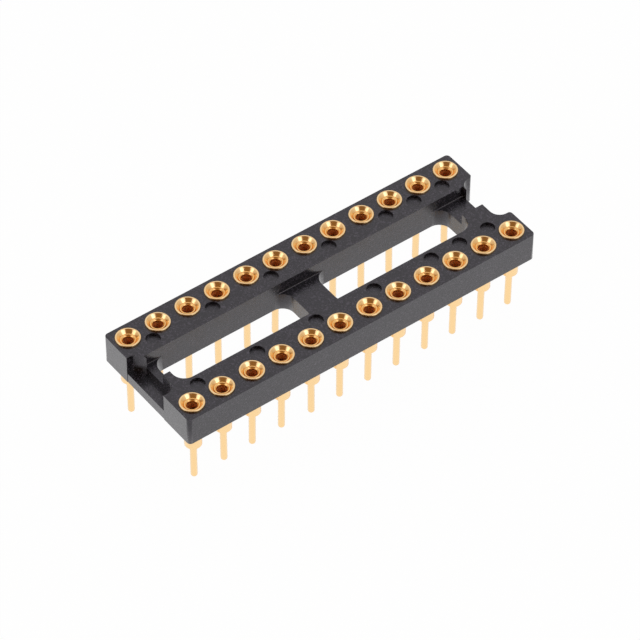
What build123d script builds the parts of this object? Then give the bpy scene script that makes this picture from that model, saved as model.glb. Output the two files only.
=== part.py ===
from build123d import *
import os

# Turned-contact dual-in-line socket with an open frame, sizes in millimetres.
# Z = 0 is the plane of the tail tips. X runs along the rows, and the grid of contacts is centred on Z.

# Contact grid
contacts_per_row = 12
pitch = 2.54
row_spacing = 7.62

# Heights
tail_length = 3.3  # tail below the board seat
seat_to_rim = 4.2  # board seat to the top of the contact's rim
rim_proud = 0.15  # rim above the insulator's top face
insulator_height = 2.4

# Contact sleeve, turned from brass
tail_diameter = 0.5
tip_radius = 0.2
barrel_diameter = 1.27
head_diameter = 1.83
head_thickness = 0.45
mouth_diameter = 1.6
funnel_depth = 0.35
sleeve_bore_diameter = 1.04
sleeve_bore_depth = 3.1
drill_point_depth = 0.2

# Spring clip, pressed into the sleeve
clip_fingers = 4
clip_rim_diameter = 1.13
clip_rim_depth = 0.24  # clip's top face below the sleeve's rim
clip_inner_diameter = 0.87
clip_lead_in = 0.045  # the throat's mouth is wider by this all round
clip_lead_in_depth = 0.12
clip_throat_length = 0.5
clip_collar_length = 0.7
clip_pinch_depth = 2.15  # where the fingers come closest, below the rim
clip_pinch_diameter = 0.46  # as the fingers stand with a chip's lead between them
clip_wall = 0.1
clip_flare_length = 0.35
clip_flare_diameter = 0.6
clip_slot_width = 0.14

# Insulator outline
end_margin = 1.18  # last contact's centre to the end face
side_margin = 1.27  # row centre to the long face
corner_radius = 0.3
strip_width = 3.29  # each of the two long strips that hold a row

# Cross bars, from the -X end to the +X end, with a window on each side of the centre bar
stack_bar_width = 1.7
centre_bar_width = 2.44
index_bar_width = 1.84
bar_drop = 0.95  # bar tops below the strips' top face
bar_fillet_radius = 0.08  # where the bar tops meet the strips
window_corner_radius = 1.0

# Stacking shelf at the -X end
shelf_depth = 1.11  # along X
shelf_width = 4.4
shelf_shift = 0.12  # towards +Y, off the middle of the frame
shelf_drop = 1.56
shelf_corner_radius = 0.84
end_recess = 0.03  # end face between the strips, set back from the strips' ends

# Index notch at the +X end, which marks pin 1
index_depth = 1.17
index_width = 4.4
index_corner_radius = 0.84
index_edge_radius = 0.25  # upright edges where the notch meets the end face

# Tongues, left at full height on the -Y strip
tongue_reach = 1.34

# Ejector-pin marks, between contacts
mark_diameter = 1.1
mark_depth = 0.3
mark_inset = 1.16  # from the row centre towards the middle
mark_shift = (0.12, 0.1)  # the whole pattern of marks, off the grid of contacts
mark_gaps = (0, 2, 4, 6, 8, 9, 10)  # gap 0 lies between the first two contacts at the -X end

# How far cutting solids run past the faces that they cut
cut_margin = 1.0

# Worked out from the sizes above
seat_z = tail_length
rim_z = seat_z + seat_to_rim
top_z = rim_z - rim_proud
bottom_z = top_z - insulator_height
bar_z = top_z - bar_drop
shelf_z = top_z - shelf_drop
first_x = -(contacts_per_row - 1) * pitch / 2
insulator_length = (contacts_per_row - 1) * pitch + 2 * end_margin
insulator_width = row_spacing + 2 * side_margin
end_x = insulator_length / 2
inner_y = insulator_width / 2 - strip_width
shelf_x = -end_x + shelf_depth
index_x = end_x - index_depth
window_length = (insulator_length - index_depth - stack_bar_width - centre_bar_width - index_bar_width) / 2
window_1_x = (-end_x + stack_bar_width, -end_x + stack_bar_width + window_length)
window_2_x = (index_x - index_bar_width - window_length, index_x - index_bar_width)


def contact_places():
    """Pin 1 is beside the index notch, and the count goes anticlockwise seen from above."""
    far_row = [(-first_x - i * pitch, row_spacing / 2) for i in range(contacts_per_row)]
    near_row = [(first_x + i * pitch, -row_spacing / 2) for i in range(contacts_per_row)]
    return far_row + near_row


def prism(x_span, y_span, z_span, radius=0, round_ends=()):
    """Upright prism between two places along each axis, with its corners round at the -X end (0) or +X end (-1)."""
    (x0, x1), (y0, y1), (z0, z1) = x_span, y_span, z_span
    outline = Pos((x0 + x1) / 2, (y0 + y1) / 2) * Rectangle(x1 - x0, y1 - y0)
    for end in round_ends:
        outline = fillet(outline.vertices().group_by(Axis.X)[end], radius)
    return Pos(0, 0, z0) * extrude(outline, z1 - z0)


def turned(outline):
    """Solid of revolution about Z from (radius, height) points, closed along the axis."""
    profile = make_face(Polyline(*[(r, 0, z) for r, z in outline], close=True))
    return revolve(profile, Axis.Z, 360)


def contact_sleeve():
    tail, barrel, head = tail_diameter / 2, barrel_diameter / 2, head_diameter / 2
    mouth, bore = mouth_diameter / 2, sleeve_bore_diameter / 2
    bore_z = rim_z - sleeve_bore_depth
    solid = turned(
        [
            (0, 0),
            (tail, 0),
            (tail, seat_z),
            (barrel, seat_z),
            (barrel, rim_z - head_thickness),
            (head, rim_z - head_thickness),
            (head, rim_z),
            (mouth, rim_z),
            (bore, rim_z - funnel_depth),
            (bore, bore_z),
            (0, bore_z - drill_point_depth),
        ]
    )
    return fillet(solid.edges().group_by(Axis.Z)[0], tip_radius)


def contact_clip():
    """Collar pressed into the bore, with its rim seated in the funnel, and fingers that close on the lead."""
    collar, throat, rim_radius = sleeve_bore_diameter / 2, clip_inner_diameter / 2, clip_rim_diameter / 2
    pinch, flare = clip_pinch_diameter / 2, clip_flare_diameter / 2
    rim, funnel_foot = rim_z - clip_rim_depth, rim_z - funnel_depth
    funnel_slope = funnel_depth / (mouth_diameter / 2 - collar)
    collar_z = rim - clip_collar_length
    pinch_z = rim_z - clip_pinch_depth
    end_z = pinch_z - clip_flare_length
    solid = turned(
        [
            (throat + clip_lead_in, rim),
            (rim_radius, rim),
            (rim_radius, funnel_foot + (rim_radius - collar) * funnel_slope),
            (collar, funnel_foot),
            (collar, collar_z),
            (pinch + clip_wall, pinch_z),
            (flare + clip_wall, end_z),
            (flare, end_z),
            (pinch, pinch_z),
            (throat, rim - clip_throat_length),
            (throat, rim - clip_lead_in_depth),
        ]
    )
    half_slot = clip_slot_width / 2
    slot = prism((0, 2 * collar), (-half_slot, half_slot), (end_z - cut_margin, collar_z))
    for i in range(clip_fingers):
        solid -= Rot(0, 0, (i + 0.5) * 360 / clip_fingers) * slot
    return solid


def insulator_frame():
    wall_y = insulator_width / 2
    shelf_y = (shelf_shift - shelf_width / 2, shelf_shift + shelf_width / 2)
    index_y = index_width / 2
    over_top = top_z + cut_margin
    through = (bottom_z - cut_margin, over_top)
    past_shelf_end = -end_x - cut_margin
    frame = prism((-end_x, end_x), (-wall_y, wall_y), (bottom_z, top_z), corner_radius, (0, -1))
    for x_span in (window_1_x, window_2_x):
        frame -= prism(x_span, (-inner_y, inner_y), through, window_corner_radius, (0, -1))
    frame -= bar_relief()
    frame -= prism((past_shelf_end, shelf_x), shelf_y, (shelf_z, over_top), shelf_corner_radius, (-1,))
    frame -= prism((past_shelf_end, -end_x + end_recess), shelf_y, through)
    frame -= prism((index_x, end_x + cut_margin), (-index_y, index_y), through, index_corner_radius, (0,))
    notch_edges = frame.edges().filter_by(Axis.Z).filter_by_position(Axis.Y, -index_y, index_y)
    frame = fillet(notch_edges.group_by(Axis.X)[-1], index_edge_radius)
    frame -= contact_holes()
    frame -= ejector_marks()
    return frame


def bar_relief():
    """Space above the three bars, up to the tongues and the round window corners beside them."""
    tongue_y = (-inner_y - cut_margin, -inner_y + tongue_reach)
    tongue_z = (bar_z - cut_margin, top_z + 2 * cut_margin)
    space = prism((shelf_x, index_x), (-inner_y, inner_y), (bar_z, top_z + cut_margin))
    space = fillet(space.edges().filter_by(Axis.X).group_by(Axis.Z)[0], bar_fillet_radius)
    space -= prism((shelf_x - cut_margin, window_1_x[0] + window_corner_radius), tongue_y, tongue_z)
    space -= prism((window_2_x[1] - window_corner_radius, index_x + cut_margin), tongue_y, tongue_z)
    return space


def contact_holes():
    head_seat_z = top_z - (head_thickness - rim_proud)
    z_middle = (bottom_z + top_z) / 2
    barrel_hole = Pos(0, 0, z_middle) * Cylinder(barrel_diameter / 2, insulator_height + 2 * cut_margin)
    head_seat = extrude(Pos(0, 0, head_seat_z) * Circle(head_diameter / 2), top_z + cut_margin - head_seat_z)
    hole = barrel_hole + head_seat
    return [Pos(x, y, 0) * hole for x, y in contact_places()]


def ejector_marks():
    mark = Pos(0, 0, top_z) * Cylinder(mark_diameter / 2, 2 * mark_depth)
    mark_y = row_spacing / 2 - mark_inset
    places = [(first_x + (gap + 0.5) * pitch, side * mark_y) for gap in mark_gaps for side in (-1, 1)]
    return [Pos(x + mark_shift[0], y + mark_shift[1], 0) * mark for x, y in places]


os.makedirs("parts", exist_ok=True)
export_step(insulator_frame(), "parts/insulator_frame.step")
sleeve, clip = contact_sleeve(), contact_clip()
for number, (x, y) in enumerate(contact_places(), start=1):
    export_step(Pos(x, y, 0) * sleeve, f"parts/contact_sleeve_{number:02d}.step")
    export_step(Pos(x, y, 0) * clip, f"parts/contact_clip_{number:02d}.step")
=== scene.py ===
import math

import bmesh
import bpy
from mathutils import Matrix, Vector


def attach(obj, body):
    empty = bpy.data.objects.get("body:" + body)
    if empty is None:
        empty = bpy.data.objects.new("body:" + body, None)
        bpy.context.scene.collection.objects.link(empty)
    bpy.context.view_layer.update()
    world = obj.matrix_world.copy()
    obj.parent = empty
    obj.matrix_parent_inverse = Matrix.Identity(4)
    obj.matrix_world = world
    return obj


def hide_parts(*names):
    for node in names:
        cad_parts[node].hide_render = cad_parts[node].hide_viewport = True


# Turned-contact dual-in-line socket. Lengths in the dictionaries are in millimetres, Blender's are in metres.
mm = 0.001
mergeDistance = 0.0002 * mm  # points closer than this are one point
fullTurn = 2 * math.pi

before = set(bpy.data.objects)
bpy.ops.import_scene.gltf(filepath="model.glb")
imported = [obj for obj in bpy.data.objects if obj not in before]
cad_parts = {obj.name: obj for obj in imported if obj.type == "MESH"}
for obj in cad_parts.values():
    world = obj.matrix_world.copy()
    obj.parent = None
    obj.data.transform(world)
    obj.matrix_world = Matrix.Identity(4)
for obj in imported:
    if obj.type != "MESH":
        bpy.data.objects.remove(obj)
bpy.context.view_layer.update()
nodeNames = sorted(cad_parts)
print("loaded", len(nodeNames), "solids")


def hexToLinear(text):
    channels = [int(text[i:i + 2], 16) / 255 for i in (1, 3, 5)]
    return [c / 12.92 if c <= 0.04045 else ((c + 0.055) / 1.055) ** 2.4 for c in channels] + [1.0]


def addNode(tree, kind, inputs=None, **settings):
    # an input is given a value, a socket or a node, and a node stands for its first output in use
    node = tree.nodes.new(kind)
    for name, value in settings.items():
        setattr(node, name, value)
    for key, value in (inputs or {}).items():
        if isinstance(key, int):
            socket = node.inputs[key]
        else:
            socket = next(s for s in node.inputs if s.name == key and s.enabled)
        if isinstance(value, bpy.types.Node):
            value = next(s for s in value.outputs if s.enabled)
        if isinstance(value, bpy.types.NodeSocket):
            tree.links.new(value, socket)
        else:
            socket.default_value = value
    return node


def newGroup(name, inputs, outputs):
    # kinds are the ends of Blender's socket names, such as Float, Int and Geometry
    tree = bpy.data.node_groups.new(name, "GeometryNodeTree")
    for label, kind in inputs.items():
        tree.interface.new_socket(name=label, in_out="INPUT", socket_type="NodeSocket" + kind)
    for label, kind in outputs.items():
        tree.interface.new_socket(name=label, in_out="OUTPUT", socket_type="NodeSocket" + kind)
    return tree, addNode(tree, "NodeGroupInput").outputs


def newObject(name, data):
    thing = bpy.data.objects.new(name, data)
    bpy.context.scene.collection.objects.link(thing)
    return thing


def plainMesh(piece):
    # modifiers become a plain mesh, and go
    evaluated = piece.evaluated_get(bpy.context.evaluated_depsgraph_get())
    mesh = bpy.data.meshes.new_from_object(evaluated)
    piece.modifiers.clear()
    piece.data = mesh
    mesh.name = piece.name
    return mesh


def outwardNormals(mesh):
    shape = bmesh.new()
    shape.from_mesh(mesh)
    bmesh.ops.remove_doubles(shape, verts=shape.verts, dist=mergeDistance)
    bmesh.ops.recalc_face_normals(shape, faces=shape.faces)
    shape.to_mesh(mesh)
    shape.free()


# Materials

noiseSpan = {"From Min": 0.3, "From Max": 0.7}  # nearly all of a noise texture's values lie between these

# Polybutylene terephthalate with glass fibre, moulded in a spark-eroded tool: charcoal rather than black, a
# fine even grain that greys every face at a low angle, faint flow mottling, and a few pale scuffs and specks
# of dust.
thermoplasticLook = {
    "colour": "#0f0f13",
    "fibreColour": "#43404b",
    "fibreSparseness": 4.0,  # the higher, the fewer cells are pale
    "scuffColour": "#8c8b8e",
    "glossTint": "#f4e9ff",
    "ior": 1.4,
    "roughness": (0.22, 0.3),
    "skin": 1.0,  # a second gloss, from the clear resin that lies over the fibres
    "skinRoughness": 0.22,
    "grain": 0.1,  # spark-eroded grit and fibre ends are nearer 0.03, drawn coarser so that they show
    "grainHeight": 0.009,
    "mottle": 1.6,
    "mottleTones": (0.9, 1.1),
    "ripple": 3.5,
    "rippleHeight": 0.012,
    "speckSpacing": 0.7,
    "speckSize": 0.045,
    "speckFrom": 0.72,  # only the cells above this share have a speck
    "speckStrength": 0.35,
}


def mouldedThermoplastic(look):
    material = bpy.data.materials.new("glassFilledThermoplastic")
    material.use_nodes = True
    tree = material.node_tree
    tree.nodes.clear()
    place = addNode(tree, "ShaderNodeTexCoord").outputs["Object"]
    perMetre = {size: 1 / (look[size] * mm) for size in ("grain", "mottle", "ripple", "speckSpacing")}
    grain = addNode(
        tree,
        "ShaderNodeTexNoise",
        {"Vector": place, "Scale": perMetre["grain"], "Detail": 3.0, "Roughness": 0.6},
    )
    mottle = addNode(
        tree,
        "ShaderNodeTexNoise",
        {"Vector": place, "Scale": perMetre["mottle"], "Detail": 4.0, "Roughness": 0.55},
    )
    ripple = addNode(
        tree, "ShaderNodeTexNoise", {"Vector": place, "Scale": perMetre["ripple"], "Detail": 1.0}
    )

    # fibre ends: each small cell is its own grey, and most are dark
    ends = addNode(tree, "ShaderNodeTexVoronoi", {"Vector": place, "Scale": perMetre["grain"]})
    grey = addNode(tree, "ShaderNodeSeparateColor", {"Color": ends.outputs["Color"]}).outputs["Green"]
    fibreShare = addNode(tree, "ShaderNodeMath", {0: grey, 1: look["fibreSparseness"]}, operation="POWER")
    dark, pale = hexToLinear(look["colour"]), hexToLinear(look["fibreColour"])
    fibre = addNode(tree, "ShaderNodeMix", {"Factor": fibreShare, "A": dark, "B": pale}, data_type="RGBA")
    low, high = look["mottleTones"]
    tone = addNode(
        tree, "ShaderNodeMapRange", {"Value": mottle, **noiseSpan, "To Min": low, "To Max": high}
    )
    toned = addNode(tree, "ShaderNodeVectorMath", {0: fibre, "Scale": tone}, operation="SCALE")

    # specks: small round cells, of which only a few are pale
    cells = addNode(tree, "ShaderNodeTexVoronoi", {"Vector": place, "Scale": perMetre["speckSpacing"]})
    speckShare = look["speckSize"] / look["speckSpacing"]
    small = addNode(
        tree, "ShaderNodeMath", {0: cells.outputs["Distance"], 1: speckShare}, operation="LESS_THAN"
    )
    chance = addNode(tree, "ShaderNodeSeparateColor", {"Color": cells.outputs["Color"]}).outputs["Red"]
    few = addNode(tree, "ShaderNodeMath", {0: chance, 1: look["speckFrom"]}, operation="GREATER_THAN")
    speck = addNode(tree, "ShaderNodeMath", {0: small, 1: few}, operation="MULTIPLY")
    faint = addNode(tree, "ShaderNodeMath", {0: speck, 1: look["speckStrength"]}, operation="MULTIPLY")
    scuff = hexToLinear(look["scuffColour"])
    colour = addNode(tree, "ShaderNodeMix", {"Factor": faint, "A": toned, "B": scuff}, data_type="RGBA")

    low, high = look["roughness"]
    gloss = addNode(
        tree, "ShaderNodeMapRange", {"Value": mottle, **noiseSpan, "To Min": high, "To Max": low}
    )
    waves = addNode(
        tree, "ShaderNodeBump", {"Height": ripple, "Distance": look["rippleHeight"] * mm, "Strength": 1.0}
    )
    grit = addNode(
        tree,
        "ShaderNodeBump",
        {"Height": grain, "Distance": look["grainHeight"] * mm, "Strength": 1.0, "Normal": waves},
    )
    surface = addNode(
        tree,
        "ShaderNodeBsdfPrincipled",
        {
            "Base Color": colour,
            "Roughness": gloss,
            "IOR": look["ior"],
            "Specular Tint": hexToLinear(look["glossTint"]),
            "Coat Weight": look["skin"],
            "Coat Roughness": look["skinRoughness"],
            "Coat IOR": look["ior"],
            "Normal": grit,
            "Coat Normal": grit,
        },
    )
    addNode(tree, "ShaderNodeOutputMaterial", {"Surface": surface})
    return material


# Brass turned on an automatic lathe, then gold-plated over nickel: fine rings round every face from the
# tool's feed, a mirror-like funnel, and a slightly different tone from contact to contact.
turnedBrassLook = {
    "colour": "#fed9a1",
    "paleColour": "#fedda9",
    "boreShadeColour": "#fed9a1",
    "roughness": (0.12, 0.22),
    "deepRoughness": 0.2,
    "deepHeights": (5.5, 6.9),  # all deep below the first height, none above the second
    "feed": 0.035,  # one turn of the tool, 0.02 on the real part
    "ringHeight": 0.0012,
}

# Beryllium copper sheet, stamped, rolled and gold-plated: deeper in colour than the sleeve, with faint lines
# round it, and dull below its throat, where a darker colour is painted shade, so that the hole looks an even
# red-brown.
rolledCopperLook = {
    "colour": "#fcc77d",
    "paleColour": "#fdcd88",
    # painted shade: the darker colour that the clip is given deep in its bore
    "boreShadeColour": "#e3a76d",
    "roughness": (0.2, 0.3),
    "deepRoughness": 0.9,
    "deepHeights": (6.9, 7.1),
    "feed": 0.05,
    "ringHeight": 0.001,
}


def platedMetal(name, look):
    material = bpy.data.materials.new(name)
    material.use_nodes = True
    tree = material.node_tree
    tree.nodes.clear()

    # turnPlace is a point's own place on its contact before the contacts were set out
    place = addNode(tree, "ShaderNodeAttribute", attribute_name="turnPlace").outputs["Vector"]
    height = addNode(tree, "ShaderNodeSeparateXYZ", {0: place}).outputs["Z"]
    flat = addNode(tree, "ShaderNodeVectorMath", {0: place, 1: (1.0, 1.0, 0.0)}, operation="MULTIPLY")
    radius = addNode(tree, "ShaderNodeVectorMath", {0: flat}, operation="LENGTH")
    along = addNode(tree, "ShaderNodeMath", {0: radius, 1: height}, operation="ADD")
    turns = addNode(tree, "ShaderNodeMath", {0: along, 1: 1 / (look["feed"] * mm)}, operation="MULTIPLY")
    rings = addNode(
        tree, "ShaderNodeTexNoise", {"W": turns, "Scale": 1.0, "Detail": 2.0}, noise_dimensions="1D"
    )

    tone = addNode(tree, "ShaderNodeAttribute", attribute_name="contactTone").outputs["Fac"]
    usual, pale = hexToLinear(look["colour"]), hexToLinear(look["paleColour"])
    colour = addNode(tree, "ShaderNodeMix", {"Factor": tone, "A": usual, "B": pale}, data_type="RGBA")
    low, high = look["roughness"]
    gloss = addNode(
        tree, "ShaderNodeMapRange", {"Value": rings, **noiseSpan, "To Min": low, "To Max": high}
    )
    grooves = addNode(
        tree, "ShaderNodeBump", {"Height": rings, "Distance": look["ringHeight"] * mm, "Strength": 1.0}
    )

    # deep in the bore the colour darkens as painted shade, and the surface is duller than where a tool has
    # burnished it
    low, high = look["deepHeights"]
    rise = addNode(
        tree, "ShaderNodeMapRange", {"Value": height, "From Min": low * mm, "From Max": high * mm}
    )
    deep, matt = hexToLinear(look["boreShadeColour"]), look["deepRoughness"]
    # painted shade: below the deep heights the colour turns to the darker bore colour
    plated = addNode(tree, "ShaderNodeMix", {"Factor": rise, "A": deep, "B": colour}, data_type="RGBA")
    dull = addNode(tree, "ShaderNodeMix", {"Factor": rise, "A": matt, "B": gloss}, data_type="FLOAT")
    surface = addNode(
        tree,
        "ShaderNodeBsdfPrincipled",
        {"Base Color": plated, "Metallic": 1.0, "Roughness": dull, "Normal": grooves},
    )
    addNode(tree, "ShaderNodeOutputMaterial", {"Surface": surface})
    return material


thermoplastic = mouldedThermoplastic(thermoplasticLook)
turnedBrass = platedMetal("goldPlatedTurnedBrass", turnedBrassLook)
rolledCopper = platedMetal("goldPlatedRolledCopper", rolledCopperLook)
print("made the materials")


# Contacts: an outline is turned round Z, and the turned piece is set out on the grid, both by geometry nodes

contactGrid = {
    "perRow": 12,
    "pitch": 2.54,
    "rowSpacing": 7.62,
    "pivotHeight": 6.15,  # middle of the insulator, about which a contact leans
    "lean": 0.5,  # degrees, the most that a contact leans in its hole
    "seed": 11,
}

gridInputs = {
    "Per Row": "Int",
    "Pitch": "Float",
    "Row Spacing": "Float",
    "Pivot Height": "Float",
    "Lean": "Float",
    "Play": "Float",
    "Seed": "Int",
}
slotInputs = {"Slots": "Int", "Slot Width": "Float", "Slot Length": "Float", "Slot Top": "Float"}
bladeReach = 1.0 * mm  # a slot's blade, from the axis to past the clip's wall


def turnedGroup():
    # grid point (i, j) goes to the outline's point i, turned j steps round Z
    tree, given = newGroup("turnOutline", {"Outline": "Geometry", "Steps": "Int"}, {"Turned": "Geometry"})
    size = addNode(
        tree, "GeometryNodeAttributeDomainSize", {"Geometry": given["Outline"]}, component="MESH"
    )
    around = addNode(tree, "FunctionNodeIntegerMath", {0: given["Steps"], 1: 1}, operation="ADD")
    sheet = addNode(
        tree, "GeometryNodeMeshGrid", {"Vertices X": size.outputs["Point Count"], "Vertices Y": around}
    )
    index = addNode(tree, "GeometryNodeInputIndex")
    i = addNode(tree, "FunctionNodeIntegerMath", {0: index, 1: around}, operation="DIVIDE_FLOOR")
    j = addNode(tree, "FunctionNodeIntegerMath", {0: index, 1: around}, operation="MODULO")
    where = addNode(tree, "GeometryNodeInputPosition")
    point = addNode(
        tree,
        "GeometryNodeSampleIndex",
        {"Geometry": given["Outline"], "Value": where, "Index": i},
        data_type="FLOAT_VECTOR",
    )
    share = addNode(tree, "ShaderNodeMath", {0: j, 1: given["Steps"]}, operation="DIVIDE")
    angle = addNode(tree, "ShaderNodeMath", {0: share, 1: fullTurn}, operation="MULTIPLY")
    turned = addNode(
        tree, "ShaderNodeVectorRotate", {"Vector": point, "Angle": angle}, rotation_type="Z_AXIS"
    )
    placed = addNode(tree, "GeometryNodeSetPosition", {"Geometry": sheet, "Position": turned})
    closed = addNode(
        tree, "GeometryNodeMergeByDistance", {"Geometry": placed, "Distance": mergeDistance}
    )
    addNode(tree, "NodeGroupOutput", {"Turned": closed})
    return tree


def setOutGroup():
    # one contact on each point of the grid
    tree, given = newGroup("setOutContacts", {"Contact": "Geometry", **gridInputs}, {"Contacts": "Geometry"})
    own = addNode(tree, "GeometryNodeInputPosition")
    kept = addNode(
        tree,
        "GeometryNodeStoreNamedAttribute",
        {"Geometry": given["Contact"], "Name": "turnPlace", "Value": own},
        data_type="FLOAT_VECTOR",
        domain="POINT",
    )
    gaps = addNode(tree, "ShaderNodeMath", {0: given["Per Row"], 1: 1.0}, operation="SUBTRACT")
    length = addNode(tree, "ShaderNodeMath", {0: gaps, 1: given["Pitch"]}, operation="MULTIPLY")
    extent = {"Size X": length, "Size Y": given["Row Spacing"]}
    counts = {"Vertices X": given["Per Row"], "Vertices Y": 2}
    grid = addNode(tree, "GeometryNodeMeshGrid", {**extent, **counts})

    # each contact is pressed in to its own depth
    deepest = addNode(tree, "ShaderNodeMath", {0: given["Play"], 1: -1.0}, operation="MULTIPLY")
    depth = addNode(
        tree,
        "FunctionNodeRandomValue",
        {"Min": deepest, "Max": given["Play"], "Seed": given["Seed"]},
        data_type="FLOAT",
    )
    height = addNode(tree, "ShaderNodeMath", {0: given["Pivot Height"], 1: depth}, operation="ADD")
    seated = addNode(tree, "ShaderNodeCombineXYZ", {"Z": height})
    raised = addNode(tree, "GeometryNodeSetPosition", {"Geometry": grid, "Offset": seated})
    pivot = addNode(tree, "ShaderNodeCombineXYZ", {"Z": given["Pivot Height"]})
    down = addNode(tree, "ShaderNodeVectorMath", {0: pivot, "Scale": -1.0}, operation="SCALE")
    lowered = addNode(tree, "GeometryNodeTransform", {"Geometry": kept, "Translation": down})

    # and leans a little and is turned its own way
    least = addNode(tree, "ShaderNodeMath", {0: given["Lean"], 1: -1.0}, operation="MULTIPLY")
    lowest = addNode(tree, "ShaderNodeCombineXYZ", {"X": least, "Y": least, "Z": 0.0})
    highest = addNode(
        tree, "ShaderNodeCombineXYZ", {"X": given["Lean"], "Y": given["Lean"], "Z": fullTurn}
    )
    turn = addNode(
        tree,
        "FunctionNodeRandomValue",
        {"Min": lowest, "Max": highest, "Seed": given["Seed"]},
        data_type="FLOAT_VECTOR",
    )
    contacts = addNode(
        tree, "GeometryNodeInstanceOnPoints", {"Points": raised, "Instance": lowered, "Rotation": turn}
    )
    tone = addNode(
        tree, "FunctionNodeRandomValue", {"Min": 0.0, "Max": 1.0, "Seed": given["Seed"]}, data_type="FLOAT"
    )
    toned = addNode(
        tree,
        "GeometryNodeStoreNamedAttribute",
        {"Geometry": contacts, "Name": "contactTone", "Value": tone},
        data_type="FLOAT",
        domain="INSTANCE",
    )
    addNode(tree, "NodeGroupOutput", {"Contacts": toned})
    return tree


turnOutline = turnedGroup()
setOutContacts = setOutGroup()


def contactTree(name, material, slotted):
    # turned outline, cut by slots where it has fingers, set out, realized and given its material
    inputs = {"Outline": "Geometry", "Steps": "Int", **gridInputs, **(slotInputs if slotted else {})}
    tree, given = newGroup(name, inputs, {"Contacts": "Geometry"})
    outline = {label: given[label] for label in ("Outline", "Steps")}
    shape = addNode(tree, "GeometryNodeGroup", outline, node_tree=turnOutline)
    if slotted:
        blade = addNode(
            tree,
            "ShaderNodeCombineXYZ",
            {"X": bladeReach, "Y": given["Slot Width"], "Z": given["Slot Length"]},
        )
        cutter = addNode(tree, "GeometryNodeMeshCube", {"Size": blade})
        # a blade's middle is half its length below its top
        middle = addNode(
            tree,
            "ShaderNodeMath",
            {0: given["Slot Length"], 1: -0.5, 2: given["Slot Top"]},
            operation="MULTIPLY_ADD",
        )
        aside = addNode(tree, "ShaderNodeCombineXYZ", {"X": bladeReach / 2, "Z": middle})
        moved = addNode(tree, "GeometryNodeTransform", {"Geometry": cutter, "Translation": aside})
        centre = addNode(tree, "GeometryNodePoints", {"Count": given["Slots"]})
        index = addNode(tree, "GeometryNodeInputIndex")
        share = addNode(tree, "ShaderNodeMath", {0: index, 1: given["Slots"]}, operation="DIVIDE")
        angle = addNode(tree, "ShaderNodeMath", {0: share, 1: fullTurn}, operation="MULTIPLY")
        turn = addNode(tree, "ShaderNodeCombineXYZ", {"Z": angle})
        blades = addNode(
            tree, "GeometryNodeInstanceOnPoints", {"Points": centre, "Instance": moved, "Rotation": turn}
        )
        solidBlades = addNode(tree, "GeometryNodeRealizeInstances", {0: blades})
        shape = addNode(
            tree,
            "GeometryNodeMeshBoolean",
            {"Mesh 1": shape, "Mesh 2": solidBlades},
            operation="DIFFERENCE",
            solver="EXACT",
        )
    grid = {label: given[label] for label in gridInputs}
    contacts = addNode(tree, "GeometryNodeGroup", {"Contact": shape, **grid}, node_tree=setOutContacts)
    real = addNode(tree, "GeometryNodeRealizeInstances", {0: contacts})
    finished = addNode(tree, "GeometryNodeSetMaterial", {"Geometry": real, "Material": material})
    addNode(tree, "NodeGroupOutput", {"Contacts": finished})
    return tree


def roundedOutline(corners, steps):
    # corners are (radius, height, rounding) in millimetres, and a rounding of 0 leaves the corner sharp
    points = []
    for n, (x, z, rounding) in enumerate(corners):
        here = Vector((x, z))
        if not rounding:
            points.append(here)
            continue
        before = (Vector(corners[n - 1][:2]) - here).normalized()
        after = (Vector(corners[(n + 1) % len(corners)][:2]) - here).normalized()
        half = before.angle(after) / 2
        centre = here + (before + after).normalized() * rounding / math.sin(half)
        reach = rounding / math.tan(half)
        start = (here + before * reach - centre).normalized()
        end = (here + after * reach - centre).normalized()
        for k in range(steps + 1):
            points.append(centre + start.slerp(end, k / steps) * rounding)
    return points


def turnedPiece(name, outline, tree, sizes, extra):
    mesh = bpy.data.meshes.new(name)
    links = [(k, k + 1) for k in range(len(outline) - 1)]
    mesh.from_pydata([(p.x * mm, 0, p.y * mm) for p in outline], links, [])
    piece = newObject(name, mesh)
    modifier = piece.modifiers.new("turn and set out", "NODES")
    modifier.node_group = tree
    grid = contactGrid
    values = {
        "Steps": sizes["steps"],
        "Per Row": grid["perRow"],
        "Pitch": grid["pitch"] * mm,
        "Row Spacing": grid["rowSpacing"] * mm,
        "Pivot Height": grid["pivotHeight"] * mm,
        "Lean": math.radians(grid["lean"]),
        "Play": sizes["depthPlay"] * mm,
        "Seed": grid["seed"],
        **extra,
    }
    for socket in tree.interface.items_tree:
        if socket.in_out == "INPUT" and socket.name in values:
            modifier[socket.identifier] = values[socket.name]
    mesh = plainMesh(piece)
    outwardNormals(mesh)
    mesh.polygons.foreach_set("use_smooth", [True] * len(mesh.polygons))
    mesh.set_sharp_from_angle(angle=math.radians(sizes["sharpAngle"]))
    print(name, len(mesh.polygons), "faces")
    return piece


sleeveSizes = {
    "steps": 64,
    "roundSteps": 4,
    "sharpAngle": 32,  # degrees between two faces
    "depthPlay": 0.0,
    "tailRadius": 0.25,
    "tipRounding": 0.2,
    "seatHeight": 3.3,
    "seatFillet": 0.03,
    "barrelRadius": 0.635,
    "barrelEdge": 0.05,
    "headUnderside": 7.05,
    "headRadius": 0.915,
    "rimHeight": 7.5,
    "rimOuterEdge": 0.05,
    "rimInnerEdge": 0.035,
    "mouthRadius": 0.8,
    "boreRadius": 0.52,
    "boreEdge": 0.03,
    "funnelDepth": 0.35,
    "boreDepth": 3.1,
    "drillPoint": 0.2,
}


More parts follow.
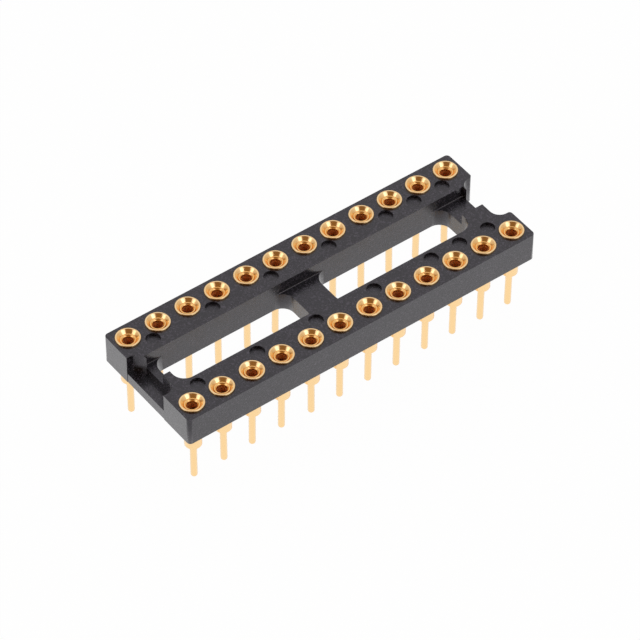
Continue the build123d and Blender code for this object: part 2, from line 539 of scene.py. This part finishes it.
def contactSleeves(sizes):
    rim, bore = sizes["rimHeight"], sizes["boreRadius"]
    corners = [
        (0, 0, 0),
        (sizes["tailRadius"], 0, sizes["tipRounding"]),
        (sizes["tailRadius"], sizes["seatHeight"], sizes["seatFillet"]),
        (sizes["barrelRadius"], sizes["seatHeight"], sizes["barrelEdge"]),
        (sizes["barrelRadius"], sizes["headUnderside"], 0),
        (sizes["headRadius"], sizes["headUnderside"], 0),
        (sizes["headRadius"], rim, sizes["rimOuterEdge"]),
        (sizes["mouthRadius"], rim, sizes["rimInnerEdge"]),
        (bore, rim - sizes["funnelDepth"], sizes["boreEdge"]),
        (bore, rim - sizes["boreDepth"], 0),
        (0, rim - sizes["boreDepth"] - sizes["drillPoint"], 0),
    ]
    tree = contactTree("turnedSleeves", turnedBrass, False)
    return turnedPiece("contactSleeves", roundedOutline(corners, sizes["roundSteps"]), tree, sizes, {})


clipSizes = {
    "steps": 48,
    "roundSteps": 5,
    "sharpAngle": 40,
    "rimDepth": 0.24,
    "depthPlay": 0.025,  # clips are not all pressed in to the same depth
    "rimRadius": 0.565,
    "rimEdge": 0.025,
    "leadInRadius": 0.49,
    "leadInDepth": 0.1,
    "throatRadius": 0.38,
    "throatEdge": 0.09,
    "throatLength": 0.5,
    "collarRadius": 0.515,
    "collarLength": 0.7,
    "pinchDepth": 2.15,
    "pinchRadius": 0.23,
    "wall": 0.1,
    "flareLength": 0.35,
    "flareRadius": 0.3,
    "fingers": 4,
    "slotWidth": 0.14,
    "slotOverrun": 0.5,  # how far a slot's blade runs past the fingers' ends
}


def contactClips(sizes):
    rim = sleeveSizes["rimHeight"] - sizes["rimDepth"]
    pinchHeight = sleeveSizes["rimHeight"] - sizes["pinchDepth"]
    endHeight = pinchHeight - sizes["flareLength"]
    funnelFoot = sleeveSizes["rimHeight"] - sleeveSizes["funnelDepth"]
    funnelSlope = sleeveSizes["funnelDepth"] / (sleeveSizes["mouthRadius"] - sleeveSizes["boreRadius"])
    corners = [
        (sizes["throatRadius"], rim - sizes["leadInDepth"], sizes["throatEdge"]),
        (sizes["leadInRadius"], rim, sizes["rimEdge"]),
        (sizes["rimRadius"], rim, sizes["rimEdge"]),
        (sizes["rimRadius"], funnelFoot + (sizes["rimRadius"] - sleeveSizes["boreRadius"]) * funnelSlope, 0),
        (sizes["collarRadius"], funnelFoot, 0),
        (sizes["collarRadius"], rim - sizes["collarLength"], 0),
        (sizes["pinchRadius"] + sizes["wall"], pinchHeight, 0),
        (sizes["flareRadius"] + sizes["wall"], endHeight, 0),
        (sizes["flareRadius"], endHeight, 0),
        (sizes["pinchRadius"], pinchHeight, 0),
        (sizes["throatRadius"], rim - sizes["throatLength"], 0),
    ]
    outline = roundedOutline(corners, sizes["roundSteps"])
    outline.append(outline[0])
    tree = contactTree("rolledClips", rolledCopper, True)
    slotTop = rim - sizes["collarLength"]
    slots = {
        "Slots": sizes["fingers"],
        "Slot Width": sizes["slotWidth"] * mm,
        "Slot Top": slotTop * mm,
        "Slot Length": (slotTop - endHeight + sizes["slotOverrun"]) * mm,
    }
    return turnedPiece("contactClips", outline, tree, sizes, slots)


sleeves = contactSleeves(sleeveSizes)
clips = contactClips(clipSizes)
for piece, kind, slot in ((sleeves, "contact_sleeve_", "sleeve_gold"), (clips, "contact_clip_", "clip_gold")):
    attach(piece, "root")
    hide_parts(*[n for n in nodeNames if n.startswith(kind)])
print("turned the contacts")


# Insulator: the moulded frame's solid, with the small edge radii that a mould leaves

insulatorEdges = {
    "wide": 0.06,  # round each contact's head, where the plastic draws back and leaves a dark line
    "fine": 0.022,  # other sharp edges, less where short facets of a round corner leave no room
    "segments": 2,
    "sharpFrom": 30,  # degrees between two faces
    "flatWithin": 0.5,  # degrees
    "radiusTolerance": 0.02,
    "topHeight": 7.35,
    "heightTolerance": 0.01,
}


def mouldedInsulator(edges):
    shape = bmesh.new()
    shape.from_mesh(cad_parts["insulator_frame"].data)
    bmesh.ops.remove_doubles(shape, verts=shape.verts, dist=mergeDistance)
    flatAngle = math.radians(edges["flatWithin"])
    bmesh.ops.dissolve_limit(shape, angle_limit=flatAngle, verts=shape.verts, edges=shape.edges)
    weight = shape.edges.layers.float.new("bevel_weight_edge")
    grid = contactGrid
    firstX = -(grid["perRow"] - 1) * grid["pitch"] / 2
    for edge in shape.edges:
        if len(edge.link_faces) != 2 or edge.calc_face_angle() < math.radians(edges["sharpFrom"]):
            continue
        edge[weight] = edges["fine"] / edges["wide"]
        ends = [v.co / mm for v in edge.verts]
        if all(abs(e.z - edges["topHeight"]) < edges["heightTolerance"] for e in ends):
            nearX = firstX + grid["pitch"] * round((ends[0].x - firstX) / grid["pitch"])
            nearY = math.copysign(grid["rowSpacing"] / 2, ends[0].y)
            away = [math.hypot(e.x - nearX, e.y - nearY) - sleeveSizes["headRadius"] for e in ends]
            if all(abs(distance) < edges["radiusTolerance"] for distance in away):
                edge[weight] = 1.0
    mesh = bpy.data.meshes.new("mouldedInsulator")
    shape.to_mesh(mesh)
    shape.free()
    mesh.polygons.foreach_set("use_smooth", [True] * len(mesh.polygons))
    mesh.materials.append(thermoplastic)
    piece = newObject("mouldedInsulator", mesh)
    soften = piece.modifiers.new("edge radii", "BEVEL")
    soften.limit_method = "WEIGHT"
    soften.width = edges["wide"] * mm
    soften.segments = edges["segments"]
    flatten = piece.modifiers.new("flat faces stay flat", "WEIGHTED_NORMAL")
    flatten.weight = 100  # the largest face at a point decides its normal
    flatten.keep_sharp = False
    plainMesh(piece)
    print("mouldedInsulator", len(piece.data.polygons), "faces")
    return piece


insulator = mouldedInsulator(insulatorEdges)
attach(insulator, "root")
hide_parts("insulator_frame")
print("softened the insulator")


# Studio: white floor, a soft box on each side of the camera, and a pale room with a brown corner

studio = {
    "floorSize": 2000,
    "floorColour": "#f6f6f6",
    "floorWhite": 0.98,  # share of plain white in what is seen of the floor, and the rest keeps shadows
    "roomColour": "#ecebec",
    "lowColour": "#dac8af",  # warm walls
    "lowHeights": (14, 34),  # degrees above the floor, where the warm walls start and end to fade
    "gapColour": "#87653d",  # the unlit brown side of the room, where the camera stands
    "gapAzimuth": -47,
    "gapElevation": 42,
    "gapWidths": (28, 50),  # degrees from its middle to where it starts and ends to lighten
    "lookAt": (0, 0, 7.5),
    "cameraAzimuth": -36.99,
    "cameraElevation": 46.23,
    "cameraRoll": 0.27,
    "cameraDistance": 309.4,
    "cameraAside": (-0.14, -2.63),  # to the right and up
    "lens": 247.74,
    "filmWidth": 36,
    "clipping": (10, 10000),
}

# azimuths, the camera's too, are in degrees from -Y towards +X, and powers are in watts
softBoxes = {
    "leftSoftBox": {"azimuth": -100, "elevation": 21, "size": (135, 150), "power": 0.053},
    "rightSoftBox": {"azimuth": 8, "elevation": 25, "size": (155, 150), "power": 0.081},
}
softBoxDistance = 260
softBoxAim = (0, 0, 6)
white = (1.0, 1.0, 1.0, 1.0)


def directionFrom(azimuth, elevation):
    a, e = math.radians(azimuth), math.radians(elevation)
    return Vector((math.sin(a) * math.cos(e), -math.cos(a) * math.cos(e), math.sin(e)))


def studioFloor(sizes):
    material = bpy.data.materials.new("whiteStudioFloor")
    material.use_nodes = True
    tree = material.node_tree
    tree.nodes.clear()
    path = addNode(tree, "ShaderNodeLightPath").outputs
    seen = addNode(
        tree, "ShaderNodeMath", {0: path["Is Camera Ray"], 1: path["Is Glossy Ray"]}, operation="ADD"
    )
    seen = addNode(
        tree, "ShaderNodeMath", {0: seen, 1: path["Is Transmission Ray"]}, operation="ADD", use_clamp=True
    )
    share = addNode(tree, "ShaderNodeMath", {0: seen, 1: sizes["floorWhite"]}, operation="MULTIPLY")
    paper = addNode(tree, "ShaderNodeBsdfDiffuse", {"Color": hexToLinear(sizes["floorColour"])})
    glow = addNode(tree, "ShaderNodeEmission", {"Color": white, "Strength": 1.0})
    mixed = addNode(tree, "ShaderNodeMixShader", {0: share, 1: paper, 2: glow})
    addNode(tree, "ShaderNodeOutputMaterial", {"Surface": mixed})
    half = sizes["floorSize"] / 2 * mm
    mesh = bpy.data.meshes.new("studioFloor")
    corners = [(-half, -half, 0), (half, -half, 0), (half, half, 0), (-half, half, 0)]
    mesh.from_pydata(corners, [], [(0, 1, 2, 3)])
    mesh.materials.append(material)
    floor = newObject("studioFloor", mesh)


def softBox(name, sizes):
    lamp = bpy.data.lights.new(name, "AREA")
    lamp.shape = "RECTANGLE"
    lamp.size, lamp.size_y = [side * mm for side in sizes["size"]]
    lamp.energy = sizes["power"]
    box = newObject(name, lamp)
    towards = directionFrom(sizes["azimuth"], sizes["elevation"])
    box.location = Vector(softBoxAim) * mm + towards * softBoxDistance * mm
    box.rotation_euler = towards.to_track_quat("Z", "Y").to_euler()


def studioRoom(sizes):
    world = bpy.context.scene.world or bpy.data.worlds.new("studioRoom")
    bpy.context.scene.world = world
    world.use_nodes = True
    tree = world.node_tree
    tree.nodes.clear()
    path = addNode(tree, "ShaderNodeLightPath").outputs
    towards = addNode(tree, "ShaderNodeTexCoord").outputs["Generated"]
    gapMiddle = directionFrom(sizes["gapAzimuth"], sizes["gapElevation"])
    near = addNode(tree, "ShaderNodeVectorMath", {0: towards, 1: gapMiddle}, operation="DOT_PRODUCT")
    inner, outer = [math.cos(math.radians(width)) for width in sizes["gapWidths"]]
    gap = addNode(
        tree,
        "ShaderNodeMapRange",
        {"Value": near, "From Min": outer, "From Max": inner},
        interpolation_type="SMOOTHSTEP",
    )
    upward = addNode(tree, "ShaderNodeSeparateXYZ", {0: towards}).outputs["Z"]
    low, high = [math.sin(math.radians(height)) for height in sizes["lowHeights"]]
    rise = addNode(
        tree,
        "ShaderNodeMapRange",
        {"Value": upward, "From Min": low, "From Max": high},
        interpolation_type="SMOOTHSTEP",
    )
    warm, pale = hexToLinear(sizes["lowColour"]), hexToLinear(sizes["roomColour"])
    walls = addNode(tree, "ShaderNodeMix", {"Factor": rise, "A": warm, "B": pale}, data_type="RGBA")
    brown = hexToLinear(sizes["gapColour"])
    colour = addNode(tree, "ShaderNodeMix", {"Factor": gap, "A": walls, "B": brown}, data_type="RGBA")
    room = addNode(tree, "ShaderNodeBackground", {"Color": colour, "Strength": 1.0})
    blank = addNode(tree, "ShaderNodeBackground", {"Color": white, "Strength": 1.0})
    mixed = addNode(tree, "ShaderNodeMixShader", {0: path["Is Camera Ray"], 1: room, 2: blank})
    addNode(tree, "ShaderNodeOutputWorld", {"Surface": mixed})


def photoCamera(sizes):
    # right, up and back are the camera's own axes
    back = directionFrom(sizes["cameraAzimuth"], sizes["cameraElevation"])
    right = Vector((0, 0, 1)).cross(back).normalized()
    up = back.cross(right)
    roll = Matrix.Rotation(math.radians(sizes["cameraRoll"]), 3, back)
    right, up = roll @ right, roll @ up
    aside, rise = sizes["cameraAside"]
    lens = bpy.data.cameras.new("photoCamera")
    lens.lens, lens.sensor_width = sizes["lens"], sizes["filmWidth"]
    lens.clip_start, lens.clip_end = [distance * mm for distance in sizes["clipping"]]
    camera = newObject("photoCamera", lens)
    place = (Vector(sizes["lookAt"]) + right * aside + up * rise + back * sizes["cameraDistance"]) * mm
    camera.matrix_world = Matrix.Translation(place) @ Matrix((right, up, back)).transposed().to_4x4()
    bpy.context.scene.camera = camera


studioFloor(studio)
studioRoom(studio)
for name, sizes in softBoxes.items():
    softBox(name, sizes)
photoCamera(studio)
bpy.context.scene.view_settings.view_transform = "Standard"
print("lit the studio")
